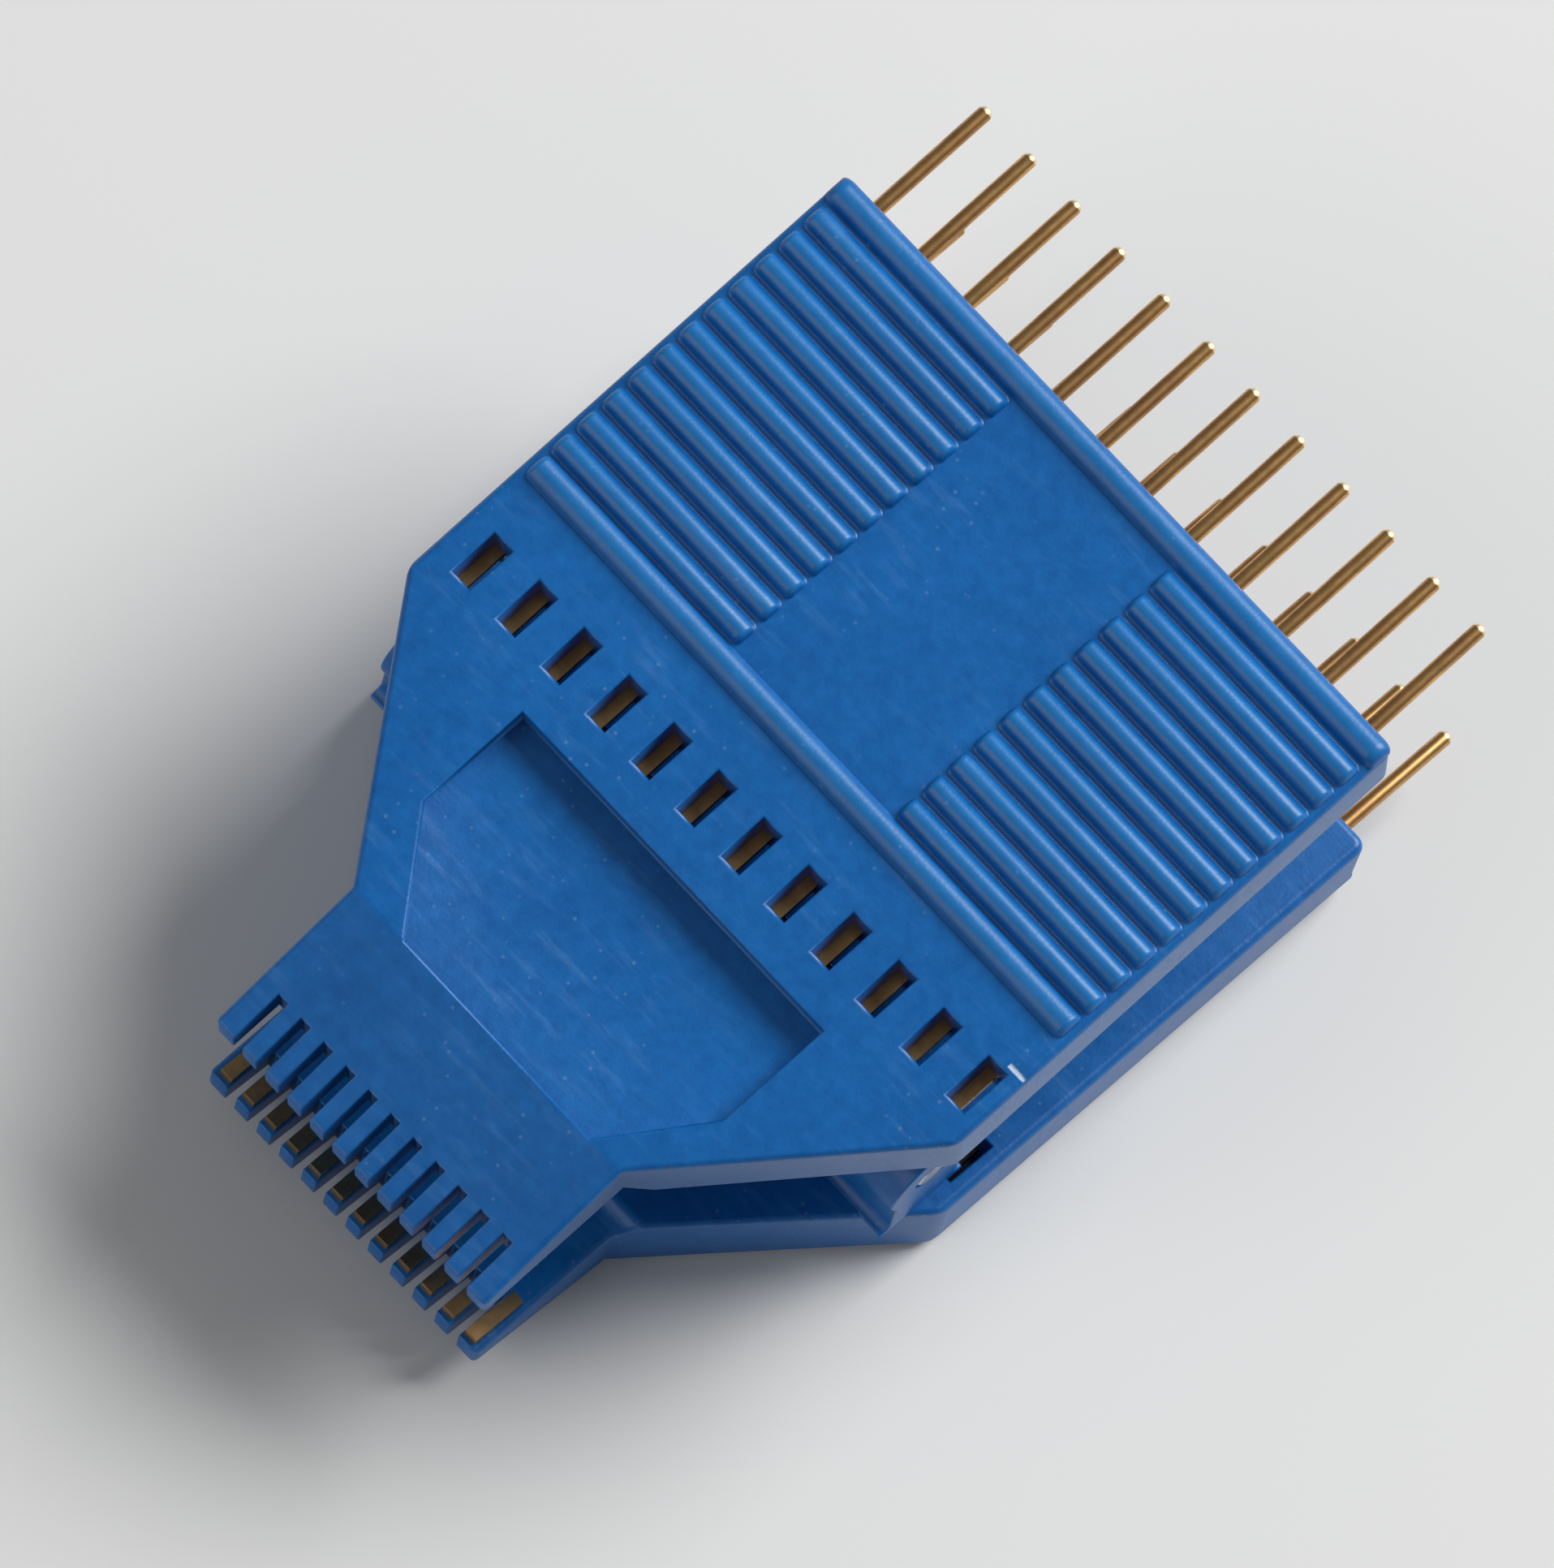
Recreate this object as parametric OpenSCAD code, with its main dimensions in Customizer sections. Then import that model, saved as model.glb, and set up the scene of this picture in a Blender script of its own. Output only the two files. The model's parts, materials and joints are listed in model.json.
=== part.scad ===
// Spring-loaded test clip for small-outline chips with two rows of leads.
// Two moulded halves turn on one steel pin. Each half carries one row of
// contact wires: a header pin at the handle end, a fan in the middle and a
// fine-pitch contact behind each finger of the nose.
// X runs across the clip, Y towards the header pins, Z up. The clip lies on
// its back half, as it comes to rest on a table.

/* [Contacts] */
// Contacts in each half
contacts_per_row = 12; // [8:1:14]
// Pitch of the header pins
header_pitch = 2.54; // [2.2:0.01:2.8]
// Pitch of the chip's leads, and of the fingers
lead_pitch = 1.27; // [1.2:0.01:1.4]
// Diameter of a header pin
pin_d = 0.64; // [0.5:0.01:0.7]
// Length of a header pin outside the body
pin_length = 6.2; // [4:0.1:9]
// Gap between the body and the pin's round part
pin_standoff = 0.1; // [0.05:0.05:0.3]
// Side of the square wire inside the moulding
wire_d = 0.44; // [0.35:0.01:0.5]
// Distance from the windows to the start of the contacts' fan
fan_gap = 2; // [1:0.1:3]
// Depth of the contacts below the outer face
contact_depth = 1.9; // [1.8:0.05:2.1]
// Depth of the contact's end at the nose
tip_depth = 3.3; // [3.1:0.05:3.4]
// Distance from the nose's end to the contact's end
tip_setback = 0.25; // [0.2:0.05:1]
// Clearance round a contact in its tunnel
contact_clearance = 0.02; // [0.02:0.01:0.04]

/* [Body] */
// Length of the handle above the window row
handle_length = 20.7; // [17:0.1:26]
// Length of the nose side below the window row
front_length = 19.5; // [19:0.1:22]
// Wall outside the last header pin, to the side of the body
side_wall = 1.53; // [1.4:0.01:2.5]
// Thickness of each half
plate_t = 4; // [3.8:0.1:4.4]
// Cut-off along the body's long edges
edge_cut = 0.35; // [0.2:0.05:0.6]
// Cut-off at the corners of the handle
corner_cut = 0.5; // [0.2:0.1:1]
// Start of the taper, below the window row
taper_start = 2.2; // [1.8:0.1:3]
// End of the taper, where the nose begins
taper_end = 12.3; // [11:0.1:12.8]
// Slope of the nose's outer face, in degrees
nose_slope = 14; // [10:0.5:15]
// Depth of the nose's inner face below the outer face
nose_inner_depth = 3.1; // [2.9:0.05:3.3]

/* [Nose comb] */
// Width of a slot between two fingers
slot_w = 0.5; // [0.4:0.01:0.6]
// Length of a slot
slot_length = 2.4; // [1.5:0.1:3.5]
// Cut-off at the ends of the fingers
finger_cut = 0.3; // [0.1:0.05:0.5]

/* [Windows and pocket] */
// Width of a window
window_w = 1; // [0.7:0.05:1.2]
// Length of a window
window_length = 2.2; // [1.5:0.1:2.6]
// Cut-off at the upper and lower edge of a window
window_cut = 0.2; // [0.1:0.05:0.3]
// Sideways offset of the windows from the contacts
window_offset = 0.3; // [0:0.05:0.35]
// Top wall of the pocket, below the window row
pocket_top = 2.9; // [2.4:0.1:3.5]
// Half width of the pocket at its top
pocket_half_w = 8.5; // [6:0.1:9]
// Length of the pocket's straight sides
pocket_side = 4.9; // [3:0.1:6]
// Half width of the pocket at its low end
pocket_low_half_w = 5.1; // [4:0.1:6.5]
// Length of the pocket
pocket_length = 9.4; // [8:0.1:9.4]
// Depth of the pocket at its top wall
pocket_depth = 1.3; // [0.8:0.05:1.3]
// Depth of the pocket at its low end
pocket_low_depth = 0.15; // [0.1:0.05:0.3]

/* [Grip] */
// Ribs in each of the two grip fields
rib_count = 11; // [5:1:11]
// Radius of a rib
rib_r = 0.5; // [0.4:0.05:0.55]
// Height of the ribs above the outer face
rib_height = 0.45; // [0.3:0.05:0.5]
// Distance from the handle's end face to the lip
lip_setback = 0.05; // [0.05:0.05:0.3]
// Height of the ridge above the window row
ridge_at = 4.1; // [3.8:0.1:5]
// Distance from the lip to the first rib
lip_gap = 1.5; // [1.2:0.05:2]
// Half width of the bare field between the ribs
label_half_w = 4.4; // [3:0.1:6]
// Margin between the ribs' outer ends and the side of the body
rib_margin = 0.35; // [0.2:0.05:0.8]

/* [Hinge] */
// Distance of the hinge below the window row
hinge_below = 2.5; // [1.5:0.1:4]
// Distance from the outer face to the hinge axis
hinge_depth = 7.5; // [7.2:0.1:8.5]
// Angle between the two outer faces at rest, in degrees
rest_angle = 8; // [6:0.5:10]
// Diameter of the hinge pin
hinge_pin_d = 1.6; // [1.2:0.1:2]
// Radial clearance of the hinge pin in its bores
hinge_clearance = 0.03; // [0.01:0.01:0.08]
// Outer radius of a hinge knuckle
knuckle_r = 2.1; // [1.8:0.05:2.3]
// Width of the web that carries a knuckle
web_w = 3.4; // [2.6:0.1:3.5]
// Cut-off at the ends of the hinge pin
hinge_pin_cut = 0.2; // [0.1:0.05:0.4]
// Knuckles in the hinge, shared by the two halves
knuckle_count = 5; // [3:2:7]
// Gap between two knuckles
knuckle_gap = 0.2; // [0.1:0.05:0.4]
// Set-back of the hinge from the sides of the body
knuckle_inset = 0.9; // [0.7:0.1:2]

/* [Springs] */
// Distance from the middle to each spring
spring_x = 8.5; // [5:0.5:11]
// Distance from the hinge axis to the springs
spring_from_hinge = 15.5; // [10:0.5:18]
// Outer diameter of a spring
spring_d = 4.6; // [4:0.1:5.5]
// Diameter of the spring's wire
spring_wire_d = 0.55; // [0.4:0.05:0.6]
// Open turns of a spring
spring_turns = 6; // [4:1:7]
// Depth of the spring's seat in each half
seat_depth = 1; // [0.5:0.1:1]
// Clearance round the spring in its seat
seat_clearance = 0.15; // [0.1:0.05:0.3]
// Clearance between the spring and the floor of its seat
seat_floor_clearance = 0.03; // [0.02:0.01:0.1]
// Length of the peg inside the spring
peg_length = 2.4; // [1.5:0.1:2.8]
// Clearance between the spring and its peg
peg_clearance = 0.25; // [0.2:0.05:0.5]

/* [Hidden] */
halves = ["back", "front"];
plastic = [0.13, 0.40, 0.72];
gold = [0.78, 0.60, 0.28];
steel = [0.72, 0.73, 0.75];
$fn = 48;

// Lengths cut past a face, so that no cut ends on it
over = 1;
pin_r = pin_d / 2;
// Offset of contact k from the middle, in pitches
function contact_step(k) = k - (contacts_per_row + 1) / 2;
body_half_w = contact_step(contacts_per_row) * header_pitch + side_wall;
nose_half_w = contacts_per_row * lead_pitch / 2;
pin_tip_y = handle_length + pin_length;
// The contacts fan in between the windows and the nose
fan_top_y = -window_length / 2 - fan_gap;
fan_low_y = -taper_end;
contact_end_y = -front_length + tip_setback;
// Side view of the nose
nose_drop = (front_length - taper_end) * tan(nose_slope);
nose_step = plate_t - nose_inner_depth;
// Side view of the grip
lip_at = handle_length - rib_r - lip_setback;
rib_pitch = (lip_at - lip_gap - ridge_at) / rib_count;
rib_axis_depth = rib_r - rib_height;
rib_end_x = body_half_w - rib_margin;
// Side view of the whole clip, round the hinge axis
half_angle = rest_angle / 2;
hinge_y = -hinge_below;
spring_seat_to_axis = (hinge_depth - plate_t) / cos(half_angle)
    + spring_from_hinge * tan(half_angle) + seat_depth;
spring_half_l = spring_seat_to_axis - seat_floor_clearance;
spring_r = (spring_d - spring_wire_d) / 2;
hinge_half_l = body_half_w - knuckle_inset;
knuckle_w = (2 * hinge_half_l - (knuckle_count - 1) * knuckle_gap) / knuckle_count;

// The clip rests on its ridge and on the upper edge of the nose's slope.
// Both are given from the hinge axis, as distances along Y and down.
ridge_run = ridge_at - hinge_y;
ridge_down = hinge_depth - rib_axis_depth;
nose_edge_run = -taper_end - hinge_y;
rest_run = ridge_run - nose_edge_run;
rest_fall = ridge_down - hinge_depth;
rest_tilt = atan2(rest_fall, rest_run) + asin(rib_r / norm([rest_run, rest_fall]));
function turned(p, a) = [p[0] * cos(a) - p[1] * sin(a), p[0] * sin(a) + p[1] * cos(a)];
front_tilt = rest_tilt + rest_angle;
bottom_z = turned([nose_edge_run, -hinge_depth], rest_tilt)[1];
nose_end_y = turned([-front_length - hinge_y, hinge_depth - nose_drop], front_tilt)[0];
pin_end_y = turned([pin_tip_y - pin_r - hinge_y, contact_depth - hinge_depth], rest_tilt)[0] + pin_r;
hinge_home = [0, -(nose_end_y + pin_end_y) / 2, -bottom_z];

// Frame of the hinge axis, in the middle plane at rest
module at_hinge(tilt) {
    translate(hinge_home) rotate([tilt, 0, 0]) children();
}

// Lays the back half down. Its own frame has the outer face at depth 0 and
// the depth upwards, with Y measured from the window row.
module lay_back() {
    at_hinge(rest_tilt) translate([0, -hinge_y, -hinge_depth]) children();
}

// The front half is the mirror image, opened by the rest angle.
module lay_front() {
    at_hinge(front_tilt) mirror([0, 0, 1]) translate([0, -hinge_y, -hinge_depth]) children();
}

// Upright pin with a round tip, along Y from one height to another
module round_pin(x, from_y, to_y, r) {
    translate([x, from_y, contact_depth]) rotate([-90, 0, 0]) rotate_extrude() {
        square([r, to_y - from_y - r]);
        intersection() {
            translate([0, to_y - from_y - r]) circle(r = r, $fn = 32);
            square([r, to_y - from_y]);
        }
    }
}

// The square wire ends inside the round pin
pin_foot_y = handle_length + pin_standoff;
strip_top_y = pin_foot_y + pin_d / 2;

// Plan of a strip that fans from the header's pitch to the leads' pitch.
// The slant is wider along X, so that the strip keeps its width across it.
module fan_outline(pin_x, lead_x, half_w) {
    slant = half_w * norm([fan_top_y - fan_low_y, pin_x - lead_x]) / (fan_top_y - fan_low_y);
    polygon([
        [pin_x - half_w, strip_top_y],
        [pin_x + half_w, strip_top_y],
        [pin_x + half_w, fan_top_y + half_w],
        [pin_x + slant, fan_top_y],
        [lead_x + slant, fan_low_y],
        [lead_x + half_w, fan_low_y - half_w],
        [lead_x - half_w, fan_low_y - half_w],
        [lead_x - slant, fan_low_y],
        [pin_x - slant, fan_top_y],
        [pin_x - half_w, fan_top_y + half_w]
    ]);
}

// Side view of the contact's nose end: it slopes inwards to the jaw
module nose_outline(half_t, end_y) {
    polygon([
        [fan_low_y + wire_d, contact_depth - half_t],
        [fan_low_y, contact_depth - half_t],
        [end_y, tip_depth - half_t],
        [end_y, tip_depth + half_t],
        [fan_low_y, contact_depth + half_t],
        [fan_low_y + wire_d, contact_depth + half_t]
    ]);
}

// One contact, or its tunnel where grow is the clearance on every side
module contact_wire(k, grow) {
    pin_x = contact_step(k) * header_pitch;
    lead_x = contact_step(k) * lead_pitch;
    half_w = wire_d / 2 + grow;
    round_pin(pin_x, pin_foot_y - grow, pin_tip_y + grow, pin_d / 2 + grow);
    translate([0, 0, contact_depth - half_w]) linear_extrude(2 * half_w)
        fan_outline(pin_x, lead_x, half_w);
    translate([lead_x - half_w, 0, 0]) rotate([90, 0, 90]) linear_extrude(2 * half_w)
        nose_outline(half_w, contact_end_y - grow);
}

// The outer edge at the ends of the fingers
module finger_edge() {
    side = finger_cut * sqrt(2);
    translate([-nose_half_w - over, -front_length, nose_drop]) rotate([45, 0, 0])
        translate([0, -side / 2, -side / 2])
            cube([2 * (nose_half_w + over), side, side]);
}

module plan_outline() {
    polygon([
        [-body_half_w + corner_cut, handle_length],
        [body_half_w - corner_cut, handle_length],
        [body_half_w, handle_length - corner_cut],
        [body_half_w, -taper_start],
        [nose_half_w, -taper_end],
        [nose_half_w, -front_length],
        [-nose_half_w, -front_length],
        [-nose_half_w, -taper_end],
        [-body_half_w, -taper_start],
        [-body_half_w, handle_length - corner_cut]
    ]);
}

// Side view, with Y along the first axis and the depth along the second
module side_outline() {
    polygon([
        [handle_length, edge_cut],
        [handle_length, plate_t],
        [-taper_end + nose_step, plate_t],
        [-taper_end, nose_inner_depth],
        [-front_length, nose_inner_depth],
        [-front_length, nose_drop],
        [-taper_end, 0],
        [handle_length - edge_cut, 0]
    ]);
}

// End view of the plate, with its long edges cut off
module end_outline() {
    polygon([
        [-body_half_w + edge_cut, 0],
        [body_half_w - edge_cut, 0],
        [body_half_w, edge_cut],
        [body_half_w, plate_t - edge_cut],
        [body_half_w - edge_cut, plate_t],
        [-body_half_w + edge_cut, plate_t],
        [-body_half_w, plate_t - edge_cut],
        [-body_half_w, edge_cut]
    ]);
}

// The bare moulding: plan, side and end views, each run through the others
module plate() {
    reach = 2 * body_half_w + 2 * over;
    length = handle_length + front_length + 2 * over;
    intersection() {
        translate([0, 0, -over]) linear_extrude(plate_t + 2 * over) plan_outline();
        translate([-reach / 2, 0, 0]) rotate([90, 0, 90]) linear_extrude(reach) side_outline();
        translate([0, handle_length + over, 0]) rotate([90, 0, 0]) linear_extrude(length)
            end_outline();
    }
}

// A half-sunk round bar with ball ends
module rib(y, from_x, to_x) {
    translate([from_x, y, rib_axis_depth]) rotate([0, 90, 0]) rotate_extrude()
        intersection() {
            square([rib_r, to_x - from_x]);
            union() {
                translate([0, rib_r]) square([rib_r, to_x - from_x - 2 * rib_r]);
                translate([0, rib_r]) circle(r = rib_r, $fn = 32);
                translate([0, to_x - from_x - rib_r]) circle(r = rib_r, $fn = 32);
            }
        }
}

// Two fields of ribs between a ridge and a lip that run the full width
module grip() {
    for (i = [1:rib_count]) {
        y = ridge_at + i * rib_pitch;
        rib(y, label_half_w, rib_end_x);
        rib(y, -rib_end_x, -label_half_w);
    }
    rib(ridge_at, -rib_end_x, rib_end_x);
    translate([-body_half_w + corner_cut, lip_at, rib_axis_depth]) rotate([0, 90, 0])
        cylinder(h = 2 * (body_half_w - corner_cut), r = rib_r);
}

// Shallow pocket whose floor rises towards the nose
module pocket() {
    floor_angle = atan2(pocket_depth - pocket_low_depth, pocket_length);
    intersection() {
        translate([0, -pocket_top, -over]) linear_extrude(plate_t) polygon([
            [-pocket_half_w, 0],
            [pocket_half_w, 0],
            [pocket_half_w, -pocket_side],
            [pocket_low_half_w, -pocket_length],
            [-pocket_low_half_w, -pocket_length],
            [-pocket_half_w, -pocket_side]
        ]);
        translate([0, -pocket_top, pocket_depth]) rotate([floor_angle, 0, 0])
            translate([-body_half_w, -2 * pocket_length, -2 * plate_t])
                cube([2 * body_half_w, 3 * pocket_length, 2 * plate_t]);
    }
}

module windows() {
    window_side = window_cut * sqrt(2);
    for (k = [1:contacts_per_row])
        translate([
            contact_step(k) * header_pitch + window_offset - window_w / 2,
            -window_length / 2,
            -over
        ]) {
            cube([window_w, window_length, plate_t + 2 * over]);
            for (y = [0, window_length])
                translate([0, y, over]) rotate([45, 0, 0])
                    translate([0, -window_side / 2, -window_side / 2])
                        cube([window_w, window_side, window_side]);
        }
}

module comb_slots() {
    for (k = [1:contacts_per_row - 1])
        translate([
            (contact_step(k) + 0.5) * lead_pitch - slot_w / 2,
            -front_length - over,
            -over
        ]) cube([slot_w, slot_length + over, plate_t + 2 * over]);
}

// Left edge of knuckle i, counted from 0
function knuckle_x(i) = -hinge_half_l + i * (knuckle_w + knuckle_gap);

// Every second knuckle, from the given first one, with its web to the plate
module knuckles(first) {
    for (i = [first:2:knuckle_count - 1])
        translate([knuckle_x(i), hinge_y, hinge_depth]) {
            rotate([0, 90, 0]) cylinder(h = knuckle_w, r = knuckle_r);
            translate([0, -web_w / 2, -hinge_depth + plate_t / 2])
                cube([knuckle_w, web_w, hinge_depth - plate_t / 2]);
        }
}

module hinge_bore() {
    translate([-body_half_w - over, hinge_y, hinge_depth]) rotate([0, 90, 0])
        cylinder(h = 2 * (body_half_w + over), d = hinge_pin_d + 2 * hinge_clearance);
}

// Places children at the two springs, in the middle plane at rest
module at_springs() {
    translate([0, hinge_y, hinge_depth]) rotate([half_angle, 0, 0])
        for (x = [-spring_x, spring_x]) translate([x, spring_from_hinge, 0]) children();
}

module spring_seats() {
    at_springs() translate([0, 0, -spring_seat_to_axis])
        cylinder(h = plate_t, d = spring_d + 2 * seat_clearance);
}

module spring_pegs() {
    peg_r = spring_d / 2 - spring_wire_d - peg_clearance;
    at_springs() translate([0, 0, -spring_seat_to_axis - seat_depth / 2])
        cylinder(h = peg_length + seat_depth / 2, r = peg_r);
}

// One moulded half. The knuckles start with the first or the second one.
module shell(first_knuckle) {
    color(plastic) difference() {
        union() {
            difference() {
                union() {
                    plate();
                    grip();
                }
                finger_edge();
                windows();
                comb_slots();
                pocket();
                spring_seats();
            }
            knuckles(first_knuckle);
            spring_pegs();
        }
        hinge_bore();
        for (k = [1:contacts_per_row]) contact_wire(k, contact_clearance);
    }
}

module back_shell() {
    lay_back() shell(0);
}

module front_shell() {
    lay_front() shell(1);
}

module back_contact(k) {
    color(gold) lay_back() contact_wire(k, 0);
}

module front_contact(k) {
    color(gold) lay_front() contact_wire(k, 0);
}

module hinge_pin() {
    r = hinge_pin_d / 2;
    length = 2 * hinge_half_l;
    color(steel) at_hinge(rest_tilt) translate([-hinge_half_l, 0, 0]) rotate([0, 90, 0])
        rotate_extrude() polygon([
            [0, 0],
            [r - hinge_pin_cut, 0],
            [r, hinge_pin_cut],
            [r, length - hinge_pin_cut],
            [r - hinge_pin_cut, length],
            [0, length]
        ]);
}

// Points of the spring's wire, with one closed turn at each end
spring_steps = 14;
spring_sides = 8;
closed_turns = 1;
spring_lead = (2 * spring_half_l - spring_wire_d * (1 + 2 * closed_turns)) / spring_turns;
function spring_rise(t) =
    t < closed_turns ? t * spring_wire_d
    : t < closed_turns + spring_turns
        ? closed_turns * spring_wire_d + (t - closed_turns) * spring_lead
    : closed_turns * spring_wire_d + spring_turns * spring_lead
        + (t - closed_turns - spring_turns) * spring_wire_d;
all_turns = spring_turns + 2 * closed_turns;
spring_rings = all_turns * spring_steps;
spring_points = [
    for (i = [0:spring_rings])
        for (j = [0:spring_sides - 1])
            let (
                turn = i / spring_steps,
                around = 360 * turn,
                about = 360 * j / spring_sides,
                r = spring_r + spring_wire_d / 2 * cos(about),
                z = spring_rise(turn) + spring_wire_d / 2 * (1 + sin(about))
            )
            [r * cos(around), r * sin(around), z - spring_half_l]
];
spring_faces = concat(
    [[for (j = [0:spring_sides - 1]) j]],
    [
        for (i = [0:spring_rings - 1])
            for (j = [0:spring_sides - 1])
                let (
                    a = i * spring_sides + j,
                    b = i * spring_sides + (j + 1) % spring_sides
                )
                [a, a + spring_sides, b + spring_sides, b]
    ],
    [[for (j = [spring_sides - 1:-1:0]) spring_rings * spring_sides + j]]
);

module spring(x) {
    color(steel) at_hinge(rest_tilt + half_angle) translate([x, spring_from_hinge, 0])
        polyhedron(points = spring_points, faces = spring_faces, convexity = 10);
}

module spring_left() {
    spring(-spring_x);
}

module spring_right() {
    spring(spring_x);
}

back_shell();
front_shell();
hinge_pin();
spring_left();
spring_right();
for (k = [1:contacts_per_row]) {
    back_contact(k);
    front_contact(k);
}
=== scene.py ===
import json
import math

import bmesh
import bpy
from mathutils import Matrix, Vector


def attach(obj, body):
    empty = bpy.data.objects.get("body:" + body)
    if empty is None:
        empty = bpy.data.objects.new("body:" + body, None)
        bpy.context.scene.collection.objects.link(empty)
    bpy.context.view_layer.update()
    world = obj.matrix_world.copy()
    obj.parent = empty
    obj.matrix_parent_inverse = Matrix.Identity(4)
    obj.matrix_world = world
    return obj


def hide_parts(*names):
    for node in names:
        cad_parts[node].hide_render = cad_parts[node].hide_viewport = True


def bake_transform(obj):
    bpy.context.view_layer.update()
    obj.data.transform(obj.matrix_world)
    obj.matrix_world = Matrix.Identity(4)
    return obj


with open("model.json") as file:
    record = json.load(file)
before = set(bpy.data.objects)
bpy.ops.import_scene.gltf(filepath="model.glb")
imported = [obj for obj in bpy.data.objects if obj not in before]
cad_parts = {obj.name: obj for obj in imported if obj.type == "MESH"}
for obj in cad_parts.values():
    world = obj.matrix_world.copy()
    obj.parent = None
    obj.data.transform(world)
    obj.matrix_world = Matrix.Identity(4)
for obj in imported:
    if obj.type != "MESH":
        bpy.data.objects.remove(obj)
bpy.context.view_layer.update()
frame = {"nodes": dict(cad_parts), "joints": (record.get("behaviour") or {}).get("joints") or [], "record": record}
MM = 0.001

# Camera: the photograph looks down on the front half's face from 0.91 m away, close to square on.
# Its place and axes are given in that face's own frame: origin in the middle of the window row,
# X across, Y towards the header pins. The tilt of each half is read from its first header pin.
hinge_axis = Vector(frame["joints"][0]["pos_m"])
HINGE_DEPTH = 7.5
HINGE_BELOW_WINDOWS = 2.5
CAMERA_AT = Vector((145.5, -141.1, 890.3)) * MM
CAMERA_RIGHT = Vector((0.6759, 0.7370, -0.0074))
LOOK_AT = Vector((0.2, 2.6, -1.5)) * MM
FOCAL_PIXELS = 29355
IMAGE_HEIGHT = 1932
SENSOR = 36


def pin_tilt(mount_name):
    mount = next(m for m in frame["record"]["mounts"] if m["name"] == mount_name)
    return math.atan2(mount["axis"][2], mount["axis"][1])


front_tilt = pin_tilt("front_pin_1")
back_tilt = pin_tilt("back_pin_1")
face_turn = Matrix.Rotation(front_tilt, 4, "X")
face_frame = (
    Matrix.Translation(hinge_axis) @ face_turn
    @ Matrix.Translation(Vector((0, HINGE_BELOW_WINDOWS, HINGE_DEPTH)) * MM)
)
eye = face_frame @ CAMERA_AT
ahead = (face_frame @ LOOK_AT - eye).normalized()
right = face_turn.to_3x3() @ CAMERA_RIGHT
right = (right - right.dot(ahead) * ahead).normalized()
up = right.cross(ahead)
camera_data = bpy.data.cameras.new("camera")
camera_data.sensor_width = SENSOR
camera_data.lens = FOCAL_PIXELS / IMAGE_HEIGHT * SENSOR
camera = bpy.data.objects.new("camera", camera_data)
camera.matrix_world = Matrix.Translation(eye) @ Matrix((right, up, -ahead)).transposed().to_4x4()
bpy.context.collection.objects.link(camera)
bpy.context.scene.camera = camera

# Floor, lamps and world: a pale sheet, one soft lamp from the upper right of the handle as in the
# photograph, and a weak fill. The lamps' directions are in the frame of the front half's face.
floor_material = bpy.data.materials.new("pale_floor")
floor_material.use_nodes = True
floor_shader = floor_material.node_tree.nodes["Principled BSDF"]
floor_shader.inputs["Base Color"].default_value = (0.66, 0.66, 0.65, 1)
floor_shader.inputs["Roughness"].default_value = 0.95
bpy.ops.mesh.primitive_plane_add(size=4, location=(0, 0, 0))
floor = bpy.context.object
floor.name = "floor"
floor.data.materials.append(floor_material)


def soft_lamp(name, direction, distance, power, size):
    data = bpy.data.lights.new(name, "AREA")
    data.shape = "DISK"
    data.energy = power
    data.size = size
    lamp = bpy.data.objects.new(name, data)
    lamp.location = face_frame @ (Vector(direction).normalized() * distance)
    aim = face_frame.to_translation() - lamp.location
    lamp.rotation_euler = aim.to_track_quat("-Z", "Y").to_euler()
    bpy.context.collection.objects.link(lamp)


soft_lamp("key_lamp", (0.18, 0.82, 0.54), 0.9, 11.2, 0.62)
soft_lamp("fill_lamp", (-0.35, -0.75, 0.55), 0.9, 2.6, 0.8)
world = bpy.data.worlds.new("world")
world.use_nodes = True
world.node_tree.nodes["Background"].inputs["Color"].default_value = (0.93, 0.96, 1.0, 1)
world.node_tree.nodes["Background"].inputs["Strength"].default_value = 0.17
bpy.context.scene.world = world
bpy.context.scene.view_settings.view_transform = "Standard"


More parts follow.
